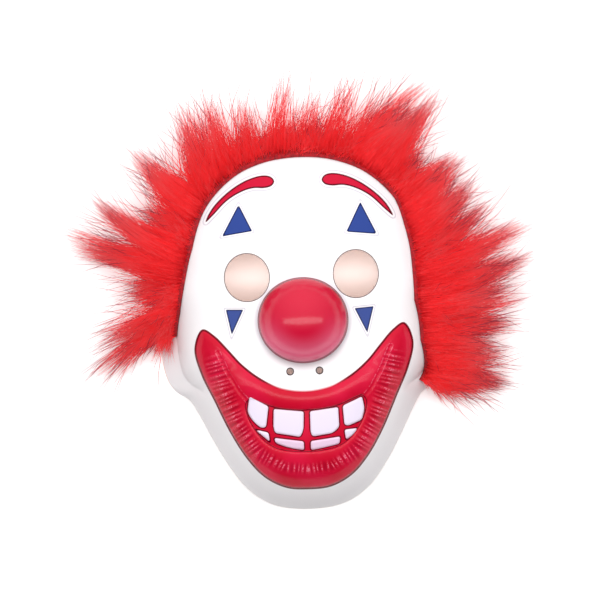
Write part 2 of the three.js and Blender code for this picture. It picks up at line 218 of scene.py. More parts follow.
faceForm = {
    "rimHalfWidth": 94, "chinDrop": 124, "crownRise": 122,  # half width over the tabs, and reach down and up
    "faceHeight": 58,  # rim plane to the flat of the face
    "flankPower": 3.0, "chinSquareness": 1.6, "flankRounding": 0.625,  # how square the shoulders are
    "tabHeight": 13, "tabWidthShare": 0.12,  # the flatter flange at each cheek
    "noseHalfWidth": 29, "noseHalfHeight": 27.5, "noseProud": 29.5,
    "eyeSpacing": 70.4, "eyeRise": 28.8, "eyeWidth": 28.8, "eyeHeight": 30.6,
    "nostrilSpacing": 19, "nostrilDrop": 32.8, "nostrilWidth": 3.8,
    "mouthHalfWidth": 71, "mouthBottomDrop": 109.5,
    "rimSteps": 1440,  # points on the rim's outline
}

rimTable = [
    ("side", "up"),
    (0, -1), (0.25, -0.972), (0.425, -0.885), (0.557, -0.752), (0.665, -0.607), (0.742, -0.49),
    (0.81, -0.405), (0.897, -0.358), (0.948, -0.31), (0.98, -0.235), (0.997, -0.12), (1, 0.02),
    (0.96, 0.26), (0.893, 0.5), (0.76, 0.723), (0.54, 0.886), (0.28, 0.974), (0, 1),
]

rimSide = column(rimTable, "side") * faceForm["rimHalfWidth"]
rimUp = column(rimTable, "up")
rimUp = rimUp * np.where(rimUp < 0, faceForm["chinDrop"], faceForm["crownRise"])
rimLoop = closedCurve(*mirrored(rimSide, rimUp), faceForm["rimSteps"])
rimBearings = np.arctan2(rimLoop[:, 1], rimLoop[:, 0])
rimOrder = np.argsort(rimBearings)
rimBearings, rimReaches = rimBearings[rimOrder], np.hypot(*rimLoop.T)[rimOrder]


def rimReach(bearing):
    # distance from the middle of the nose to the rim, by bearing in radians
    return np.interp(bearing, rimBearings, rimReaches, period=2 * math.pi)


def domeHeight(bearing, share):
    # faceHeight * (1 - share^power)^rounding; at the cheeks the foot of it is a straight flange
    form = faceForm
    up = np.sin(bearing)
    power = form["flankPower"] + form["chinSquareness"] * smooth(-up, 0.3, 1)

    def crown(reach):
        # (1 - reach^power)^rounding
        return np.maximum(0, 1 - reach**power) ** form["flankRounding"]

    foot = 1 - form["tabWidthShare"]
    wallPart = blendOf(form["tabHeight"], form["faceHeight"], crown(np.minimum(1, share / foot)))
    tabPart = form["tabHeight"] * (1 - share) / form["tabWidthShare"]
    tab = smooth(-up, -0.35, 0.05) * smooth(up, -0.62, -0.4)
    return blendOf(form["faceHeight"] * crown(share), np.where(share < foot, wallPart, tabPart), tab)


def domePoint(bearing, share):
    # x, y and height of a place at a bearing and a share of the way to the rim
    reach = share * rimReach(bearing)
    return np.stack([reach * np.cos(bearing), reach * np.sin(bearing), domeHeight(bearing, share)], -1)


def domeNormal(bearing, share):
    # cross product of a short step outwards and a short step round, at length 1
    step, turned = 0.004, 0.017
    inner = np.clip(share - step, step, 1 - 2 * step)
    out = domePoint(bearing, inner + 2 * step) - domePoint(bearing, inner)
    turn = domePoint(bearing + turned, inner + step) - domePoint(bearing - turned, inner + step)
    normal = np.cross(out, turn)
    return normal / np.linalg.norm(normal, axis=-1, keepdims=True)


# the middle of the nose in the frame's coordinates, from the shell's own box
shellLow, shellHigh = (np.array(corner) * 1000 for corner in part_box("face_shell"))
lowBearing = math.radians(-87)  # of the rim's lowest corner in the solids
noseX = (shellLow[0] + shellHigh[0]) / 2
noseY = shellLow[1] - rimReach(lowBearing) * math.sin(lowBearing)
noseAt = np.array([noseX, noseY, 0])

# outlines painted and raised on the face, from the middle of the nose

paintForm = {"lipSteps": 168, "browSteps": 112, "toothRounding": 1.3, "triangleRounding": 0.3}

lipTable = [  # the right half, as shares of the mouth's half width and of its lowest point
    ("outSide", "outDrop", "inSide", "inDrop"),
    (0, 1, 0, 0.774), (0.2, 0.988, 0.15, 0.768), (0.395, 0.922, 0.29, 0.745), (0.55, 0.81, 0.412, 0.686),
    (0.69, 0.658, 0.512, 0.585), (0.832, 0.458, 0.545, 0.52), (0.942, 0.3, 0.548, 0.494),
    (0.995, 0.145, 0.543, 0.48), (0.92, 0.038, 0.53, 0.466), (0.815, 0.078, 0.508, 0.455),
    (0.69, 0.166, 0.465, 0.464), (0.577, 0.25, 0.415, 0.477), (0.403, 0.34, 0.307, 0.506),
    (0.218, 0.394, 0.155, 0.526), (0, 0.415, 0, 0.532),
]
lipOuter, lipInner = (
    closedCurve(*mirrored(column(lipTable, side) * faceForm["mouthHalfWidth"],
                          -column(lipTable, drop) * faceForm["mouthBottomDrop"]), paintForm["lipSteps"])
    for side, drop in (("outSide", "outDrop"), ("inSide", "inDrop"))
)
lipMiddle = np.array([(-59.9, -17), (-53.5, -43.9), (-45, -65.1), (-31.9, -84.6), (-14.7, -94.8), (0, -96.6),
                      (14.7, -94.8), (31.9, -84.6), (45, -65.1), (53.5, -43.9), (59.9, -17)])
lipCrease = np.array([(37.5, -51), (43, -44.5), (50, -32), (56, -18.5)])
toothCorners = [
    [(-36.4, -48), (-24.3, -54.8), (-26.4, -68.2), (-29.6, -68.7), (-34.9, -64.1), (-38.1, -58.1)],
    [(-21, -56.6), (-1.7, -58.9), (-2.3, -71.3), (-4.6, -75.3), (-20.6, -72.2), (-21.7, -69.5)],
    [(2.3, -58.9), (20.6, -56.9), (20.9, -69.8), (16.6, -73.6), (3.5, -75.3), (2.3, -73.5)],
    [(23.6, -56.1), (36.3, -50.6), (37.8, -58.8), (35.7, -65.7), (26.4, -69.3), (24.3, -68.5)],
    [(-33.6, -69.6), (-24.9, -71.8), (-24.3, -77.9)],
    [(-21.3, -75.4), (-2.3, -78.3), (-2.3, -83.9), (-11.8, -82.4), (-20.8, -78.6)],
    [(2.1, -78.3), (21.3, -76), (20.8, -80.6), (11.9, -82.9), (2.1, -84.1)],
    [(24.2, -71.7), (32.8, -71), (29.4, -75.7), (25, -78.2)],
]
browLoop = np.array([
    (15.3, 90.5), (17.2, 87.6), (22, 86.4), (29, 86.6), (36.5, 84.6), (46.2, 79.2), (55.8, 70),
    (60.9, 65.6), (59, 70.5), (53.6, 77.8), (42.7, 87), (31.7, 92.8), (22.5, 94.8), (17.3, 93.6),
])
triangleCorners = [
    [(39.9, 75.5), (29.9, 56), (50.1, 53.9)],
    [(-39, 76.5), (-50.6, 55.9), (-30.6, 58.6)],
    [(33.4, 6.6), (46, 7.4), (41.2, -9.9)],
    [(-49.7, 8.6), (-38.2, 8.2), (-46.4, -8.2)],
]


def roundedField(x, y, corners, radius):
    # inside a convex polygon with rounded corners, r - |max(r - d, 0)| over the distances d to its sides
    corners = np.array(corners, float)
    steps = np.roll(corners, -1, 0) - corners
    area = np.sum(corners[:, 0] * np.roll(corners[:, 1], -1) - np.roll(corners[:, 0], -1) * corners[:, 1])
    depths = [
        math.copysign(1, area) * (sx * (y - cy) - sy * (x - cx)) / math.hypot(sx, sy)
        for (cx, cy), (sx, sy) in zip(corners, steps)
    ]
    least = np.minimum.reduce(depths)
    rounded = radius - np.sqrt(sum(np.maximum(radius - depth, 0) ** 2 for depth in depths))
    return np.where(least > radius, least, rounded)


def padField(x, y, pads, radius):
    # the largest field of several rounded polygons
    return np.maximum.reduce([roundedField(x, y, corners, radius) for corners in pads])


def paintFields(x, y):
    # millimetres inside each painted outline at places in plan, below 0 outside it
    around = np.hypot(x / faceForm["noseHalfWidth"], y / faceForm["noseHalfHeight"])
    return {
        "lips": loopField(x, y, lipOuter), "mouth": loopField(x, y, lipInner),
        "teeth": padField(x, y, toothCorners, paintForm["toothRounding"]),
        "brows": loopField(np.abs(x), y, closedCurve(*browLoop.T, paintForm["browSteps"])),
        "triangles": padField(x, y, triangleCorners, paintForm["triangleRounding"]),
        "nose": (1 - around) * faceForm["noseHalfHeight"],
    }


def holeFields(x, y):
    # millimetres outside the edges of the eye holes and of the nostrils
    form = faceForm
    eyeX = (np.abs(x) - form["eyeSpacing"] / 2) / form["eyeWidth"]
    eye = np.hypot(eyeX, (y - form["eyeRise"]) / form["eyeHeight"])
    nostril = np.hypot(np.abs(x) - form["nostrilSpacing"] / 2, y + form["nostrilDrop"])
    return {"eyes": (2 * eye - 1) * form["eyeWidth"] / 2, "nostrils": nostril - form["nostrilWidth"] / 2}


relief = {
    "lipRise": 3.2, "lipStep": 0.9, "edge": 0.9,  # height of the lips, of their edge, and its width
    "wrinklePitch": 3.15, "wrinkleDepth": 1.0,  # grooves across the lower lip
    "waver": [(0.2, 0.55, 0), (0.1, 1.7, 1)],  # how the grooves stray from even steps: size, rate and start
    "foldFrom": (37.5, -51), "foldWay": (19, 38), "foldWayLength": 42.5,  # grooves lie outside this line,
    "foldLow": (58, 63), "foldEnds": (2, 9),  # or this far down, and fade out at both ends of the lip
    "foldAcross": (0.12, 0.34), "foldReach": 3.2,
    "foldMore": 3.4, "foldWide": (16, 40),  # how much longer they are at the cheeks, and where
    "creaseDepth": 0.55, "creaseWidth": 1.5, "toothRise": 0.9, "toothEdge": 0.9,
    "browRise": 1.6, "browEdge": 1.4,
    "outlineRise": 0.35, "outlineWidth": 0.8,  # the thin lines embossed round the brows and the triangles
    "outlinePlaces": {"brows": -2.1, "triangles": -1.3},
}
lipSection = [
    ("across", "height"),
    (0, 0), (0.14, 0.45), (0.3, 0.8), (0.5, 1), (0.7, 0.94), (0.92, 0.55), (1, 0),
]


def lipAcross(near):
    # 0 at the lips' inner edge and 1 at their outer edge
    return np.clip(-near["mouth"] / np.maximum(0.01, near["lips"] - near["mouth"]), 0, 1)


def wrinkleFields(x, y, near):
    # distance from the middle of the lower lip, how many grooves lie before a place along it,
    # and how strong they are there
    band, along = pathDistance(x, y, lipMiddle)
    phase = along / relief["wrinklePitch"]
    for size, rate, start in relief["waver"]:
        phase = phase + size * np.sin(along * rate + start)
    (fromX, fromY), (wayX, wayY) = relief["foldFrom"], relief["foldWay"]
    side = ((np.abs(x) - fromX) * wayY - (y - fromY) * wayX) / relief["foldWayLength"]
    fold = np.maximum(smooth(side, -0.5, 1.5), smooth(-y, *relief["foldLow"]))
    fold = fold * (near["lips"] > 0) * (near["mouth"] < 0)
    fold = fold * smooth(along, *relief["foldEnds"]) * smooth(along.max() - along, *relief["foldEnds"])
    reach = relief["foldReach"] + relief["foldMore"] * smooth(np.abs(x), *relief["foldWide"])
    fold = fold * smooth(lipAcross(near), *relief["foldAcross"])
    return band, phase, fold * (1 - smooth(band, 0.45 * reach, 1.35 * reach))


def reliefHeight(x, y, near):
    # edge * (step and rise blended by the section) - fold * depth * (1/2 + cos(2 pi phase) / 2)^1.4 - crease,
    # and low pads on it for the teeth, the brows and the outlines
    lip = np.minimum(near["lips"], -near["mouth"])
    section = np.interp(lipAcross(near), column(lipSection, "across"), column(lipSection, "height"))
    height = smooth(lip, 0, relief["edge"]) * blendOf(relief["lipStep"], relief["lipRise"], section)
    band, phase, fold = wrinkleFields(x, y, near)
    depth = relief["wrinkleDepth"] * (0.55 + 0.45 * smooth(np.abs(x), 18, 42))  # deeper at the cheeks
    depth = depth * (0.85 + 0.15 * np.sin(phase * 2.4))
    height = height - fold * depth * (0.5 + 0.5 * np.cos(2 * math.pi * phase)) ** 1.4
    crease = 1 - smooth(pathDistance(np.abs(x), y, lipCrease)[0], 0, relief["creaseWidth"])
    height = height - relief["creaseDepth"] * crease * smooth(lip, 0.5, 2)
    height = height + relief["toothRise"] * smooth(near["teeth"], -0.15, relief["toothEdge"])
    height = height + relief["browRise"] * smooth(near["brows"], -0.3, relief["browEdge"])
    for name, offset in relief["outlinePlaces"].items():
        line = 1 - smooth(np.abs(near[name] - offset), 0, relief["outlineWidth"])
        height = height + relief["outlineRise"] * line
    return height


shellLook = {
    "columns": 480, "mouthDensity": 0.95,  # points round, and how much closer they lie at the mouth
    "noseRows": 26, "filletRows": 4, "faceRows": 130, "noseFillet": 2.2, "noseTilt": 84,
    "edgeRows": 3.4, "edgeReach": 1.2,  # how much closer rows lie at painted edges, and how near that is
    "wall": 0.9, "insideEvery": 6,  # sheet thickness, and how many outer rows there are to one inner row
    # inside is the inner wall's warm cream: painted light for light that comes through the thin plastic
    "white": rgb(252, 250, 252), "inside": rgb(244, 206, 190), "glow": rgb(255, 236, 228),
    "teeth": rgb(238, 228, 246), "lowTeeth": rgb(236, 206, 230),
    "lipRed": rgb(196, 14, 44), "lipBright": rgb(212, 24, 62), "highlightPink": rgb(240, 128, 152),
    "lineRed": rgb(88, 0, 22), "edgeShadeRed": rgb(100, 0, 20),
    "noseRed": rgb(196, 16, 52), "noseThin": rgb(238, 112, 146), "browRed": rgb(196, 16, 52),
    "blue": rgb(46, 68, 140), "lineBlue": rgb(18, 30, 84),
    "grooveShade": rgb(208, 204, 214), "flank": rgb(222, 218, 221),  # painted shade in the pressed outlines and on the flank, painted shade at the nose's foot and below the nose
    "foot": rgb(226, 220, 226), "shade": rgb(206, 194, 198),  # at the nose's foot and below the nose
    "holeEdge": rgb(96, 80, 78), "nostrilEdge": rgb(30, 16, 20),
    "roughness": 0.3, "paintRoughness": 0.24, "specular": 0.1,
    "lipCoat": 0.12, "noseCoat": 0.4, "translucent": 0.08, "clouds": 38.0, "specks": 900.0,
    # dark edge lines, lines of painted shade and of painted highlight, and pressed outlines: how far inside
    # an edge their middle lies, and half their width
    "toothLine": (-0.42, 0.24), "mouthLine": (-0.25, 0.2), "lipEdgeShade": (0.08, 0.48), "creaseHighlightLine": (1.5, 0.22),
    "noseEdgeShade": (0.2, 0.5), "browLine": (0.45, 0.32), "blueLine": (0.4, 0.28),
    "browDent": (-1.6, 0.3), "blueDent": (-1.0, 0.25),
}


def overColumns(values, reach):
    # a running mean of a grid over its columns, weighted (1 - (k / (reach + 1))^2)
    shifts = range(-reach, reach + 1)
    weights = [1 - (k / (reach + 1)) ** 2 for k in shifts]
    return sum(w * np.roll(values, k, 1) for w, k in zip(weights, shifts)) / sum(weights)


def rowShares(bearing, reach, startShare):
    # even steps of the running sum of arc * (1 + edgeRows * exp(-(edge / edgeReach)^2)) down each column
    look = shellLook
    fine = np.linspace(0, 1, 380)[:, None]
    share = startShare + (1 - startShare) * fine
    near = paintFields((share * reach * np.cos(bearing)).ravel(), (share * reach * np.sin(bearing)).ravel())
    edge = np.minimum.reduce([np.abs(near[name]) for name in ("lips", "mouth", "teeth", "brows")])
    edge = edge.reshape(share.shape)
    arc = np.hypot(np.gradient(share * reach, axis=0), np.gradient(domeHeight(bearing, share), axis=0))
    weight = overColumns(arc * (1 + look["edgeRows"] * np.exp(-((edge / look["edgeReach"]) ** 2))), 7)
    total = np.cumsum(weight, 0)
    total = (total - total[0]) / (total[-1] - total[0])
    place = 2.0 * np.arange(len(bearing))
    steps = np.linspace(0, 1, look["faceRows"])[:, None] + place
    spread = np.broadcast_to(fine, share.shape)
    found = np.interp(steps.T.ravel(), (total + place).T.ravel(), spread.T.ravel())
    return startShare + (1 - startShare) * found.reshape(len(bearing), -1).T


def shellPoints():
    # rows go from the nose's pole down its ball, round a fillet and out over the face to the rim:
    # ball (R sin t, seat + proud cos t), fillet a quadratic Bezier curve, then domePoint
    look, form = shellLook, faceForm
    fine = np.linspace(-math.pi, math.pi, 4001)
    weight = 1 + look["mouthDensity"] * np.exp(-(((fine + math.pi / 2) / 0.92) ** 4))
    total = np.concatenate([[0], np.cumsum((weight[1:] + weight[:-1]) / 2)])
    bearing = np.interp(np.arange(look["columns"]) / look["columns"], total / total[-1], fine)
    across, up = np.cos(bearing), np.sin(bearing)
    noseReach = 1 / np.hypot(across / form["noseHalfWidth"], up / form["noseHalfHeight"])
    reach = rimReach(bearing)
    seat = float(domeHeight(np.array(0.0), np.array(form["noseHalfWidth"] / form["rimHalfWidth"])))
    tilt = np.linspace(0, 1, look["noseRows"] + 1)[1:, None] * math.radians(look["noseTilt"])
    ballR, ballZ = noseReach * np.sin(tilt), seat + form["noseProud"] * np.cos(tilt) + 0 * noseReach
    startShare = (noseReach + look["noseFillet"]) / reach
    share = rowShares(bearing, reach, startShare)
    faceR, faceZ = share * reach, domeHeight(bearing[None], share)
    t = np.linspace(0, 1, look["filletRows"] + 2)[1:-1, None]
    filletR = bezier(ballR[-1], noseReach, faceR[0], t)
    filletZ = bezier(ballZ[-1], domeHeight(bearing, noseReach / reach), faceZ[0], t)
    radius, height = np.concatenate([ballR, filletR, faceR]), np.concatenate([ballZ, filletZ, faceZ])
    return np.stack([radius * across, radius * up, height], -1)


def gridNormals(points):
    # outward normals of a grid whose rows go outwards and whose columns go round
    out = np.gradient(points, axis=0)
    turn = np.roll(points, -1, 1) - np.roll(points, 1, 1)
    normal = np.cross(out, turn)
    return normal / np.maximum(1e-9, np.linalg.norm(normal, axis=-1, keepdims=True))


def lowest(values, rows, columns):
    # the least of a grid within some rows and columns of each place
    padded = np.pad(values, ((rows, rows), (0, 0)), mode="edge")
    low = np.minimum.reduce([padded[k : k + len(values)] for k in range(2 * rows + 1)])
    return np.minimum.reduce([np.roll(low, k, 1) for k in range(-columns, columns + 1)])


def makeShell(material):
    # outer wall = base + relief upwards, inner wall = base - normal * wall, joined at the rim,
    # and both closed at the nose's pole
    look = shellLook
    base = shellPoints()
    rows, columns = base.shape[:2]
    near = paintFields(base[..., 0].ravel(), base[..., 1].ravel())
    raised = reliefHeight(base[..., 0].ravel(), base[..., 1].ravel(), near).reshape(rows, columns)
    outer = base + np.stack([0 * raised, 0 * raised, raised], -1)
    # the inner wall has fewer rows, and some of its own at the nose's fillet, where a longer step would cut
    # through the outer wall
    fillet = look["noseRows"] + np.arange(0, look["filletRows"] + 1, 2)
    kept = np.unique(np.concatenate([np.arange(2, rows - 1, look["insideEvery"]), fillet, [rows - 2]]))
    inner = base[kept] - gridNormals(base)[kept] * look["wall"]
    inner[..., 2] += 0.8 * lowest(raised, look["insideEvery"], 4)[kept]
    flat = base[-1] / np.linalg.norm(base[-1, :, :2], axis=-1, keepdims=True)
    lastInner = base[-1] - flat * look["wall"] * 1.2
    inner = np.concatenate([np.maximum(inner, [-1e9, -1e9, 0.4]), lastInner[None]])[::-1]
    top = np.array([[0, 0, outer[0, :, 2].max() + 0.05]])
    grid = np.concatenate([outer, inner])
    points = np.concatenate([grid.reshape(-1, 3), top, top - [[0, 0, look["wall"]]]]) + noseAt
    count, ring = len(grid) * columns, np.arange(columns)
    turned, last = (ring + 1) % columns, count - columns
    caps = np.concatenate([
        np.stack([np.full(columns, count), ring, turned], 1),
        np.stack([np.full(columns, count + 1), last + turned, last + ring], 1),
    ])
    shell = addPiece("mask_shell", points, [gridFaces(len(grid), columns), caps], material)
    punch(shell)
    return shell


def ovalRod(name, middle, width, height, sides):
    # an upright prism with an oval section, (w/2 cos t, h/2 sin t)
    t = np.arange(sides) * 2 * math.pi / sides
    ring = np.stack([width / 2 * np.cos(t), height / 2 * np.sin(t), 0 * t], 1) + middle
    points = np.concatenate([ring + [0, 0, 90], ring + [0, 0, 20]])
    ends = [np.arange(sides)[None], np.arange(sides, 2 * sides)[::-1][None]]
    return addPiece(name, points, [gridFaces(2, sides), *ends], None)


def punch(shell):
    # the eye and nostril holes are cut by rods, and the cuts are applied
    form = faceForm
    eye = form["eyeSpacing"] / 2, form["eyeRise"], form["eyeWidth"], form["eyeHeight"], 96
    nostril = form["nostrilSpacing"] / 2, -form["nostrilDrop"], form["nostrilWidth"], form["nostrilWidth"], 32
    holes = [(side * hole[0], *hole[1:]) for hole in (eye, nostril) for side in (-1, 1)]
    for x, y, width, height, sides in holes:
        rod = ovalRod("rod", noseAt + [x, y, 0], width, height, sides)
        cut = shell.modifiers.new("hole", "BOOLEAN")
        cut.operation, cut.solver, cut.object = "DIFFERENCE", "MANIFOLD", rod
        bpy.context.view_layer.update()
        made = bpy.data.meshes.new_from_object(shell.evaluated_get(bpy.context.evaluated_depsgraph_get()))
        shell.modifiers.clear()
        shell.data = made
        bpy.data.objects.remove(rod)
    mesh = shell.data
    mesh.name = "mask_shell"
    mesh.shade_smooth()
    mesh.set_sharp_from_angle(angle=math.radians(50))
    place = np.zeros(len(mesh.vertices) * 3, np.float32)
    facing = place.copy()
    mesh.vertices.foreach_get("co", place)
    mesh.vertices.foreach_get("normal", facing)
    x, y, z = (place.reshape(-1, 3) * 1000 - noseAt).T
    near = {**paintFields(x, y), **holeFields(x, y)}
    near["band"], near["phase"], near["fold"] = wrinkleFields(x, y, near)
    near["crease"] = pathDistance(np.abs(x), y, lipCrease)[0]
    near["keen"] = np.maximum(smooth(np.abs(x), 14, 30), smooth(-y, 55, 65))
    # a point is outside where its normal looks up, or on the nose where it looks away from the nose's axis
    faceX, faceY, faceZ = facing.reshape(-1, 3).T
    away = (faceX * x + faceY * y) / np.maximum(1, np.hypot(x, y)) * smooth(near["nose"], -1.6, -0.8)
    near["outside"] = smooth(faceZ + 0.6 * away, -0.05, 0.05)
    # steep grows with the wall's slope; it sets where painted shade greys the flank
    near["steep"] = 1 - smooth(faceZ, 0.3, 0.92)
    for field, values in near.items():
        mesh.attributes.new(field, "FLOAT", "POINT").data.foreach_set("value", values.astype(np.float32))


def shellMaterial():
    # each paint lies where its field on the mesh is above 0
    look = shellLook
    material, wire = newMaterial("painted_plastic")

    def field(name):
        # a value stored at the points of the mesh
        return wire.node("ShaderNodeAttribute", {"attribute_name": name}, None, 2)

    def line(values, middle, half):
        # 1 within half of the middle, fading out over as much again
        return 1 - (values - middle).magnitude().rise(half, 2 * half)

    where = wire.node("ShaderNodeTexCoord", None, None, 3)
    cloud = wire.node("ShaderNodeTexNoise", None, {"Vector": where, "Scale": look["clouds"], "Detail": 3.0})
    speck = wire.node("ShaderNodeTexNoise", None, {"Vector": where, "Scale": look["specks"], "Detail": 2.0})
    up = wire.node("ShaderNodeSeparateXYZ", None, {0: where}, 1) * 1000 - float(noseAt[1])
    outside, keen = field("outside"), field("keen")
    lips, mouth, teeth = field("lips"), field("mouth"), field("teeth")
    brows, triangles, nose = field("brows"), field("triangles"), field("nose")
    ragged = (cloud - 0.5) * 0.5
    onLips = (lips + ragged * 0.3).rise(-0.75, -0.35 + (1 - keen) * 1.5)
    onTeeth = teeth.rise(-0.1, 0.25)
    onBrows = (brows + ragged * 0.4).rise(-0.2, 0.25)
    onTriangles = (triangles + ragged * 0.2).rise(-0.12, 0.2)
    onNose = (nose + ragged * 0.5).rise(-0.5, -0.1)
    # a dark line round the teeth and the opening is paint built up at their step and painted shade from the
    # lips; lower down, the lips' outer edge gets a line of painted shade and the brows a darker edge line
    dark = line(teeth, *look["toothLine"]) * mouth.rise(-0.8, 0.0)
    dark = dark.most(line(mouth, *look["mouthLine"]) * 0.8)
    # the folds of the lower lip get painted shade in their grooves and painted highlights on their ridges
    wave, fold = wire.maths("COSINE", field("phase") * 6.2832, 0.0), field("fold")  # 2 pi
    centred = 0.3 + 0.7 * (1 - field("band").rise(0.6, 2.6))
    ridgeHighlight = (0 - wave).rise(0.1, 0.8) * fold * centred * speck.rise(0.35, 0.6)
    lipColour = cloud.rise(0.35, 0.7).colour(look["lipRed"], look["lipBright"])
    lipColour = (wave.rise(0.2, 1.0) * fold * 0.3).colour(lipColour, look["lineRed"])
    lipColour = (ridgeHighlight * 0.7).colour(lipColour, look["highlightPink"])
    # painted highlights: pale streaks along the ridges beside the lips' crease
    creaseHighlight = line(field("crease"), *look["creaseHighlightLine"]) * speck.rise(0.42, 0.55) * cloud.rise(0.4, 0.55)
    lipColour = (creaseHighlight * 0.4).colour(lipColour, look["highlightPink"])
    # painted shade: a dark line at the foot of the lips' raised edge, strongest at the sides and below
    lipColour = (line(lips, *look["lipEdgeShade"]) * keen * 0.95).colour(lipColour, look["edgeShadeRed"])
    lipColour = dark.colour(lipColour, look["lineRed"])
    # the sprayed paint thins towards the lower edge of the nose
    thin = (1 - (nose + ragged * 4).rise(0.5, 21.0)) * (0 - up + ragged * 8).rise(-8.0, 20.0)
    noseColour = (thin * 0.9).colour(look["noseRed"], look["noseThin"])
    # painted shade: a dark line round the edge of the nose's ball
    noseColour = (line(nose, *look["noseEdgeShade"]) * 0.7).colour(noseColour, look["edgeShadeRed"])
    browColour = line(brows, *look["browLine"]).colour(look["browRed"], look["lineRed"])
    blueColour = line(triangles, *look["blueLine"]).colour(look["blue"], look["lineBlue"])
    # painted shade in the grooves of the pressed outlines round the brows and the triangles
    grooveShades = line(brows, *look["browDent"]).most(line(triangles, *look["blueDent"]))
    toothColour = (0 - up).rise(74.0, 78.0).colour(look["teeth"], look["lowTeeth"])
    layers = [  # how much of each colour lies over those before it
        # painted shade: the steep flank greyed, and the pressed outlines' grooves darkened
        (field("steep") * 0.6, look["flank"]), (grooveShades * 0.8, look["grooveShade"]),
        # painted shade: a grey ring at the nose's foot, and grey below the nose
        ((0 - nose).rise(3.4, 1.0), look["foot"]),
        ((0 - nose).rise(6.5, 0.5) * (0 - up).rise(12.0, 26.0) * 0.9, look["shade"]),
        # the eye holes' dark edge is partly the cut edge of the sheet and partly painted shade
        (1 - field("eyes").rise(0.3, 0.75), look["holeEdge"]),
        # painted shade: a dark rim round each nostril, standing for the dark hole
        (1 - field("nostrils").rise(0.5, 0.85), look["nostrilEdge"]),
        (onLips, lipColour), (onTeeth * onLips, toothColour), (onNose, noseColour),
        (onBrows, browColour), (onTriangles, blueColour),
    ]
    colour = look["white"]
    for share, paint in layers:
        colour = share.colour(colour, paint)
    # the inner wall is coloured warm cream as painted light for light coming through the thin plastic
    colour = outside.most(1 - field("nostrils").rise(0.0, 1.0)).colour(look["inside"], colour)
    painted = (onLips * (1 - onTeeth)).most(onNose).most(onBrows).most(onTriangles) * outside
    roughness = look["roughness"] + (look["paintRoughness"] - look["roughness"]) * painted
    roughness = roughness + (cloud - 0.5) * 0.08
    coat = lips.rise(0.2, 1.8) * (1 - onTeeth) * look["lipCoat"] + nose.rise(1.0, 7.0) * look["noseCoat"]
    grain = wire.node("ShaderNodeBump", None, {"Height": speck, "Strength": 0.12, "Distance": 0.0002})
    plastic = wire.node("ShaderNodeBsdfPrincipled", None, {
        "Base Color": colour, "Roughness": roughness, "Normal": grain, "Specular IOR Level": look["specular"],
        "Coat Weight": coat, "Coat Roughness": 0.15,
    })
    glow = wire.node("ShaderNodeBsdfTranslucent", None, {"Color": look["glow"]})
    bare = 1 - painted.most((0 - nose).rise(12.0, 2.0))
    body = wire.node("ShaderNodeMixShader", None, {0: look["translucent"] * bare, 1: plastic, 2: glow})
    wire.node("ShaderNodeOutputMaterial", None, {"Surface": body})
    return material


shell = makeShell(shellMaterial())
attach(shell, "root")
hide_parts("face_shell")
print("shell made")

# the fur: a cloth with short pile, and strands gathered into tufts and locks

furForm = {
    "gap": 0.3, "pileLength": 66, "stripOuterShare": 0.975, "stripStart": 186, "stripEnd": -30,
}

stripTable = [
    ("bearing", "share"),
    (-32, 0.915), (-12, 0.81), (8, 0.778), (28, 0.815), (42, 0.843), (51, 0.87), (66, 0.872), (90, 0.866),
    (110, 0.862), (130, 0.845), (145, 0.826), (175, 0.85), (190, 0.885),
]

lockTable = [  # the solids' long locks; body is how full a lock is, from a wisp to 1
    ("root", "tip", "reach", "width", "lift", "body"),
    (182, 195, 0.66, 0.75, 0.1, 0.3), (176, 184, 0.54, 0.8, 0.3, 0.4), (166, 171, 0.28, 0.7, 0.2, 0.6),
    (156, 161, 0.94, 1, 0.35, 0.75), (149, 149, 0.72, 0.8, 0.55, 0.45), (141, 142, 0.3, 0.75, 0.2, 0.6),
    (131, 133.8, 0.62, 0.9, 0.45, 0.65), (122, 119, 0.58, 0.95, 0.4, 0.5),
    (114, 111.5, 0.52, 0.8, 0.62, 0.28), (105, 103, 0.44, 0.8, 0.4, 0.18),
    (96, 91.5, 0.62, 0.6, 0.6, 0.12), (88, 86, 0.36, 0.8, 0.4, 0.18), (79, 75.5, 0.63, 0.7, 0.66, 0.12),
    (73, 68, 0.5, 0.85, 0.4, 0.22), (66, 58.5, 0.75, 1.05, 0.55, 0.9), (55, 54, 0.26, 0.8, 0.2, 0.6),
    (47, 44, 0.5, 0.85, 0.45, 0.75), (38, 36.5, 0.52, 0.9, 0.6, 0.7), (29, 29, 0.55, 0.85, 0.3, 0.45),
    (21, 21.5, 0.91, 0.9, 0.45, 0.45), (12, 13.8, 0.86, 0.95, 0.3, 0.5), (3, 5.5, 0.68, 0.9, 0.5, 0.6),
    (-6, -3, 0.6, 0.85, 0.25, 0.5), (-14, -10, 0.54, 0.95, 0.38, 0.6), (-21, -18.5, 0.55, 1, 0.22, 1),
    (-26, -24.5, 0.34, 0.8, 0.1, 0.8),
]


def stripPoint(bearing, across, above):
    # a place over the flank within the strip, bearing in degrees, at a height above the shell's surface
    inner = np.interp(bearing, column(stripTable, "bearing"), column(stripTable, "share"))
    share = blendOf(inner, furForm["stripOuterShare"], across)
    turned = np.radians(bearing)
    return domePoint(turned, share) + domeNormal(turned, share) * np.asarray(above)[..., None]


clothLook = {
    "steps": 300, "height": 2.6, "hairScale": 420.0,
    "threadRed": rgb(126, 8, 20), "pileRed": rgb(190, 20, 32),
}


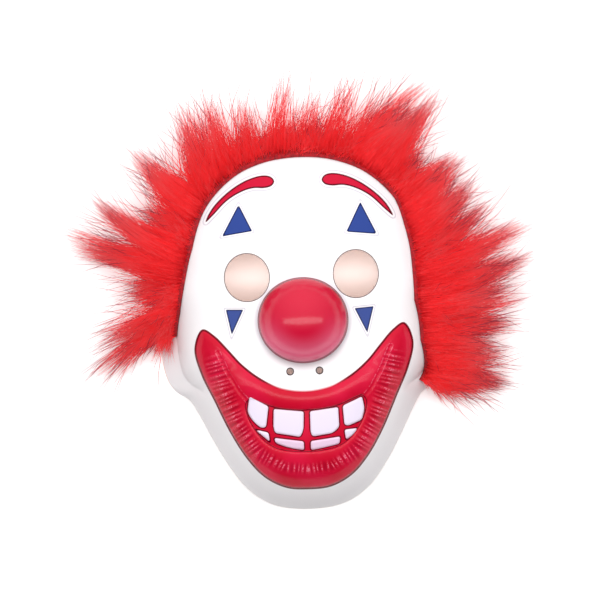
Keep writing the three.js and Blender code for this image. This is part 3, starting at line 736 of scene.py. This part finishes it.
def makeCloth(material):
    # a closed ring of section points carried along the strip; the section is a low mound
    high = clothLook["height"]
    section = [("across", "above"), (0, 0.4), (0, 0.55 * high), (0.04, 0.85 * high), (0.3, high), (0.7, high),
               (0.96, 0.8 * high), (1, 0.5 * high), (1, 0.4)]
    across, above = column(section, "across"), column(section, "above")
    across = np.concatenate([across, np.linspace(1, 0, 8)[1:-1]])
    above = np.concatenate([above, np.full(6, furForm["gap"])])
    bearing = np.linspace(furForm["stripStart"] - 0.6, furForm["stripEnd"] + 0.6, clothLook["steps"])[:, None]
    points = stripPoint(bearing + 0 * across, across + 0 * bearing, above + 0 * bearing)
    rows, columns = points.shape[:2]
    ring = np.arange(columns)
    faces = [gridFaces(rows, columns), ring[None], (ring + (rows - 1) * columns)[::-1][None]]
    return addPiece("fur_cloth", points.reshape(-1, 3) + noseAt, faces, material)


strandLook = {
    "pieces": 4, "strands": 8500,  # how many pieces, and strands in each
    "rings": 5, "rootRadius": 0.25, "tipRadius": 0.05, "wispRadius": 0.17, "wispTip": 0.15, "seed": 7,
    "tuftsPerLock": 9, "shortTufts": 620,  # long tufts of each lock, and short ones all along the strip
    "lockShare": 0.47, "wispShare": 0.085,  # shares of the full strands in locks, and of wisps in all strands
    "lockSpread": 3, "lockFan": 0.3, "lockAcross": 0.3, "lockPast": 5,
    "lockReach": (0.5, 1.02), "lockLift": (0.7, 1.1), "lockStretch": 1.1,
    "rootStray": (3.5, 2), "wispStray": 5,  # degrees, of roots in wisps and others, and of the tips of wisps
    "tipStray": (0.9, 1.5), "fan": (0.15, 0.5),  # in long and short tufts: of other tips, and with their root
    "acrossStray": 0.1, "farStray": 2.2, "highStray": 1.6,
    "shortLength": (10, 33), "shortLean": 0.8, "leftLength": 0.74,  # leftLength times that on the left
    "topDip": (0.38, 92, 24),  # how much shorter they are over the forehead, and its bearing and width
    "wispMore": (3, 24),  # how far wisps go past the tip of a tuft, least and what is added to it
    "widest": 161, "highest": 176, "endFall": 3.5, "floor": 0.6, "lowest": 0.35,
    "root": rgb(208, 20, 32), "deep": rgb(228, 34, 42), "bright": rgb(248, 62, 68), "tip": rgb(255, 164, 168),
    # glow is how strongly the fibres glow with their own colour: painted light, as they are no lamp
    "wisp": rgb(140, 14, 46), "through": rgb(252, 50, 56), "translucent": 0.45, "glow": 0.2,
}


def flowTurn(bearing):
    # how many degrees the fur leans round the face at a bearing: that of the long locks, averaged
    lock = {name: column(lockTable, name)[::-1] for name in ("root", "tip")}
    lean = np.convolve(lock["tip"] - lock["root"], [0.25, 0.5, 0.25], "same")
    return np.interp(bearing, lock["root"], lean)


def makeTufts(random):
    # each tuft: bearing and place of its root, and bearing, distance from the nose and height of its tip
    look, form = strandLook, furForm
    lock = {name: np.repeat(column(lockTable, name), look["tuftsPerLock"]) for name in lockTable[0]}
    count = len(lock["root"])
    spread = random.normal(0, 1, (4, count))
    long = {
        "root": lock["root"] + spread[0] * look["lockSpread"] * lock["width"],
        "across": np.clip(look["lockAcross"] + spread[1] * 0.25, 0.02, 0.95),
        "weight": lock["body"] * (0.5 + lock["reach"]), "body": lock["body"],
    }
    long["tip"] = lock["tip"] + spread[2] * 1.1 + (long["root"] - lock["root"]) * look["lockFan"]
    reach = lock["reach"] * random.uniform(*look["lockReach"], count)
    reach[:: look["tuftsPerLock"]] = lock["reach"][:: look["tuftsPerLock"]]
    past = reach * form["pileLength"] * look["lockStretch"]
    long["far"] = rimReach(np.radians(long["tip"])) + past + look["lockPast"]
    long["high"] = lock["lift"] * faceForm["faceHeight"] * random.uniform(*look["lockLift"], count)
    count = look["shortTufts"]
    low, high = form["stripEnd"] + 0.8, form["stripStart"] - 0.8
    short = {
        "root": np.linspace(low, high, count) + random.normal(0, 0.8, count),
        "across": random.random(count) ** 1.6,
        "weight": np.ones(count), "body": np.ones(count),
    }
    short["tip"] = short["root"] + flowTurn(short["root"]) * look["shortLean"] + random.normal(0, 1.8, count)
    # at both ends the pile falls over the end of the cloth
    fall = smooth(short["root"], high - 5, high) - 1 + smooth(short["root"], low, low + 5)
    short["tip"] += look["endFall"] * fall
    start = stripPoint(short["root"], short["across"], np.zeros(count))
    length = random.uniform(*look["shortLength"], count)
    length = length * blendOf(look["leftLength"], 1, smooth(np.cos(np.radians(short["root"])), 0.2, 0.85))
    dip, middle, width = look["topDip"]
    length = length * (1 - dip * np.exp(-(((short["root"] - middle) / width) ** 2)))
    short["far"] = np.hypot(start[:, 0], start[:, 1]) + length
    short["high"] = np.maximum(start[:, 2] * random.uniform(0.45, 0.95, count) + 2, 3)
    return {name: np.concatenate([long[name], short[name]]) for name in long}, len(long["root"])


def strandPaths(random, tufts, longCount, count):
    # each strand is the first part of a quadratic Bezier from the cloth over a swell to the tip of its tuft;
    # wisps go out on ways of their own
    look, form = strandLook, furForm
    share = tufts["weight"].copy()
    share[:longCount] *= look["lockShare"] / share[:longCount].sum()
    share[longCount:] *= (1 - look["lockShare"]) / share[longCount:].sum()
    which = random.choice(len(share), count, p=share / share.sum())
    tuft = {name: values[which] for name, values in tufts.items()}
    isLong = which < longCount
    wisp = random.random(count) < look["wispShare"]
    spread = random.normal(0, 1, (6, count))
    low, high = form["stripEnd"] + 0.7, form["stripStart"] - 0.7
    root = np.clip(tuft["root"] + spread[0] * np.where(wisp, *look["rootStray"]), low, high)
    across = tuft["across"] + spread[1] * look["acrossStray"]
    across = np.where((across < 0) | (across > 1), random.random(count), across)
    stray = np.where(wisp, look["wispStray"], np.where(isLong, *look["tipStray"]))
    tip = tuft["tip"] + (root - tuft["root"]) * np.where(isLong, *look["fan"]) + spread[2] * stray
    least, more = look["wispMore"]
    past = np.where(wisp, least + more * random.random(count) ** 1.4, 0)
    far = tuft["far"] + spread[3] * look["farStray"] + past
    far = np.minimum(far, look["widest"] / np.abs(np.cos(np.radians(tip))))
    far = np.minimum(far, look["highest"] / np.maximum(0.01, np.sin(np.radians(tip))))
    start = stripPoint(root, across, np.full(count, 1.0))
    turned = np.radians(tip)
    lift = np.maximum(2, tuft["high"] + spread[4] * look["highStray"])
    end = np.stack([far * np.cos(turned), far * np.sin(turned), lift], -1)
    length = np.linalg.norm(end - start, axis=1)
    swell = stripPoint(root, across, length * random.uniform(0.3, 0.5, count))
    swell[:, 2] = np.maximum(swell[:, 2] * 0.5 + end[:, 2] * 0.5, 4)
    part = np.where(wisp, random.uniform(0.75, 1, count), 1 - 0.65 * random.random(count) ** 2)
    own = 0.6 * ((which * 0.618) % 1) + 0.4 * random.random(count)
    tone = np.where(wisp, 0.72 + 0.27 * random.random(count), 0.66 * own)
    radius = np.where(wisp, look["wispRadius"], look["rootRadius"] * (0.6 + 0.4 * tuft["body"]))
    tipRadius = np.where(wisp, look["wispTip"], look["tipRadius"])
    return start, swell, end, part, tone, radius * random.uniform(0.75, 1.2, count), tipRadius


def makeStrands(name, random, tufts, longCount, material):
    # three-sided tapering tubes: centre(t) + radius(t) * (cos a * side + sin a * up), closed at both ends
    look = strandLook
    count, rings = look["strands"], look["rings"]
    start, swell, end, part, tone, radius, tipRadius = strandPaths(random, tufts, longCount, count)
    t = np.linspace(0, 1, rings)[None, :, None]
    reached = t * part[:, None, None]
    centre = bezier(start[:, None], swell[:, None], end[:, None], reached)
    wave = random.uniform(0, 2 * math.pi, (count, 1, 3)) + t * random.uniform(2, 6, (count, 1, 3))
    sway = random.uniform(0.1, 1, count) * np.where(tone > 0.7, 2, 1)
    centre = centre + np.sin(wave) * sway[:, None, None] * t
    centre[..., 2] = np.maximum(centre[..., 2], look["floor"])
    way = np.gradient(centre, axis=1)
    way /= np.linalg.norm(way, axis=-1, keepdims=True)
    flat = np.cross(way, [0.0, 0.0, 1.0])
    flat /= np.maximum(1e-6, np.linalg.norm(flat, axis=-1, keepdims=True))
    up = np.cross(flat, way)
    thick = blendOf(radius[:, None, None], tipRadius[:, None, None], t**1.4)
    angles = np.radians([90, 210, 330])[:, None]
    around = np.cos(angles) * flat[:, :, None] + np.sin(angles) * up[:, :, None]
    points = centre[:, :, None] + thick[..., None] * around
    points[..., 2] = np.maximum(points[..., 2], look["lowest"])
    body, tips = points[:, :-1].reshape(count, -1, 3), centre[:, -1:]
    size = body.shape[1] + 1
    first = (np.arange(count) * size)[:, None, None]
    quads = (gridFaces(rings - 1, 3)[None] + first).reshape(-1, 4)
    last, tip = size - 4, size - 1
    tris = np.array([[0, 1, 2], [last, tip, last + 1], [last + 1, tip, last + 2], [last + 2, tip, last]])
    tris = (tris[None] + first).reshape(-1, 3)
    verts = np.concatenate([body, tips], 1).reshape(-1, 3) + noseAt
    piece = addPiece(name, verts, [quads, tris], material)
    # the map holds each strand's tone across and its length upwards
    along = np.concatenate([np.repeat(np.linspace(0, 1, rings)[:-1], 3), [1]])
    shift = np.concatenate([np.tile([0, 0.003, 0.006], rings - 1), [0.003]])
    u = np.repeat(tone, size) + np.tile(shift, count)
    v = np.tile(along * 0.98 + 0.01, count)
    corners = np.zeros(len(piece.data.loops), np.int32)
    piece.data.loops.foreach_get("vertex_index", corners)
    uvs = piece.data.uv_layers.new(name="OFBake")
    uvs.data.foreach_set("uv", np.stack([u[corners], v[corners]], 1).astype(np.float32).ravel())
    return piece


def clothMaterial():
    # thread and pile colours blended by a fine noise, which also raises a bump
    look = clothLook
    material, wire = newMaterial("fur_ground")
    where = wire.node("ShaderNodeTexCoord", None, None, 3)
    hairs = wire.node("ShaderNodeTexNoise", None, {
        "Vector": where, "Scale": look["hairScale"], "Detail": 4.0, "Roughness": 0.7,
    })
    colour = hairs.rise(0.35, 0.7).colour(look["threadRed"], look["pileRed"])
    bump = wire.node("ShaderNodeBump", None, {"Height": hairs, "Strength": 0.8, "Distance": 0.001})
    fabric = {"Base Color": colour, "Roughness": 0.9, "Normal": bump}
    cloth = wire.node("ShaderNodeBsdfPrincipled", None, fabric)
    wire.node("ShaderNodeOutputMaterial", None, {"Surface": cloth})
    return material


def strandMaterial():
    # red by the tone in the map, paler towards the tip, and wine red at the tips of wisps; the fibres also
    # glow with their own colour, which is painted light
    look = strandLook
    material, wire = newMaterial("red_fibre")
    spot = wire.node("ShaderNodeUVMap", {"uv_map": "OFBake"})
    tone = wire.node("ShaderNodeSeparateXYZ", None, {0: spot}, 0)
    along = wire.node("ShaderNodeSeparateXYZ", None, {0: spot}, 1)
    colour = tone.rise(0.0, 0.4).colour(look["deep"], look["bright"])
    colour = (1 - along.rise(0.0, 0.25)).colour(colour, look["root"])
    colour = (along.rise(0.45, 1.0) * 0.55).colour(colour, look["tip"])
    dark = tone.rise(0.69, 0.71) * along.rise(0.55, 0.82)
    colour = dark.colour(colour, look["wisp"])
    # painted light: the fibres glow with their own colour, though they are no lamp
    fibre = wire.node("ShaderNodeBsdfPrincipled", None, {
        "Base Color": colour, "Roughness": 0.45, "Specular IOR Level": 0.3,
        "Emission Color": colour, "Emission Strength": look["glow"],
    })
    through = wire.node("ShaderNodeBsdfTranslucent", None, {"Color": look["through"]})
    hair = wire.node("ShaderNodeMixShader", None, {0: look["translucent"] * (1 - dark), 1: fibre, 2: through})
    wire.node("ShaderNodeOutputMaterial", None, {"Surface": hair})
    return material


cloth = makeCloth(clothMaterial())
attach(cloth, "root")
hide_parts("fur_strip")
print("cloth made")
fibre = strandMaterial()
random = np.random.default_rng(strandLook["seed"])
tufts, longCount = makeTufts(random)
names = [f"fur_strands_{number + 1}" for number in range(strandLook["pieces"])]
pile = [makeStrands(name, random, tufts, longCount, fibre) for name in names]
for strands in pile:
    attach(strands, "root")
print("strands made")

# floor, light and camera

studio = {
    "floor": rgb(255, 255, 255), "floorGlow": 0.12, "floorHalf": 6e3, "sky": 1.5, "skyWay": (0.0, 0.8, 0.6),
    "keyPlace": (0.0, -0.06, 1.25), "keySize": (3.0, 0.4), "keyPower": 16.5,  # a long soft box over the face
    "glows": [  # lamps inside the hollow that light the ground below each eye: height, size, power and colour
        (0.01, (0.03, 0.003), 0.00058, (1.0, 1.0, 1.0)), (0.038, (0.02, 0.02), 0.0028, (1.0, 0.52, 0.34)),
    ],
    "cameraDistance": 3.5, "millimetresPerPixel": 0.65, "pixels": 605, "turn": 2.1, "aim": (0.1, 11.4, 32),
    "sensor": 36, "clip": (0.1, 50),
}

half = studio["floorHalf"]
corners = np.array([(-half, -half, 0), (half, -half, 0), (half, half, 0), (-half, half, 0)], float)
floor = addPiece("floor", corners, [np.array([[0, 1, 2, 3]])], None)
floorMaterial, wire = newMaterial("studio_floor")
paper = wire.node("ShaderNodeBsdfPrincipled", None, {
    "Base Color": studio["floor"], "Roughness": 0.9, "Specular IOR Level": 0.1,
    "Emission Color": studio["floor"], "Emission Strength": studio["floorGlow"],
})
wire.node("ShaderNodeOutputMaterial", None, {"Surface": paper})
floor.data.materials.append(floorMaterial)

# the room is brightest towards skyWay and dark below the plane across it: sky * max(0, d . skyWay)
world = bpy.data.worlds.new("studio")
bpy.context.scene.world = world
world.use_nodes = True
world.node_tree.nodes.clear()
sky = Wire(world.node_tree, None)
way = sky.node("ShaderNodeTexCoord", None, None, 0)
facing = sky.node("ShaderNodeVectorMath", {"operation": "DOT_PRODUCT"}, {0: way, 1: studio["skyWay"]}, 1)
strength = facing.most(0.0) * studio["sky"]
room = sky.node("ShaderNodeBackground", None, {"Color": (1, 1, 1, 1), "Strength": strength})
sky.node("ShaderNodeOutputWorld", None, {"Surface": room})


def softBox(name, place, size, power):
    # a rectangular light that looks at the face
    lamp = bpy.data.lights.new(name, "AREA")
    lamp.shape, lamp.energy = "RECTANGLE", power
    lamp.size, lamp.size_y = size
    box = bpy.data.objects.new(name, lamp)
    bpy.context.scene.collection.objects.link(box)
    box.location = place
    box.rotation_euler = (math.atan2(place[1], place[2]), 0, 0)
    return box


softBox("key_light", studio["keyPlace"], studio["keySize"], studio["keyPower"])
for side in (-1, 1):
    place = (noseAt + [side * faceForm["eyeSpacing"] / 2, faceForm["eyeRise"], 0]) / 1000
    for height, size, power, colour in studio["glows"]:
        glow = softBox("eye_glow", (place[0], place[1], height), size, power)
        glow.rotation_euler = (0, 0, 0)
        glow.data.color = colour

camera = bpy.data.objects.new("camera", bpy.data.cameras.new("camera"))
bpy.context.scene.collection.objects.link(camera)
aim = (noseAt + studio["aim"]) / 1000
camera.location = (aim[0], aim[1], aim[2] + studio["cameraDistance"])
camera.rotation_euler = (0, 0, math.radians(-studio["turn"]))
camera.data.sensor_width = studio["sensor"]
seenWidth = studio["millimetresPerPixel"] * studio["pixels"] / 1000
camera.data.lens = studio["sensor"] * studio["cameraDistance"] / seenWidth
camera.data.clip_start, camera.data.clip_end = studio["clip"]
bpy.context.scene.camera = camera
bpy.context.scene.view_settings.view_transform = "Standard"
print("studio made")
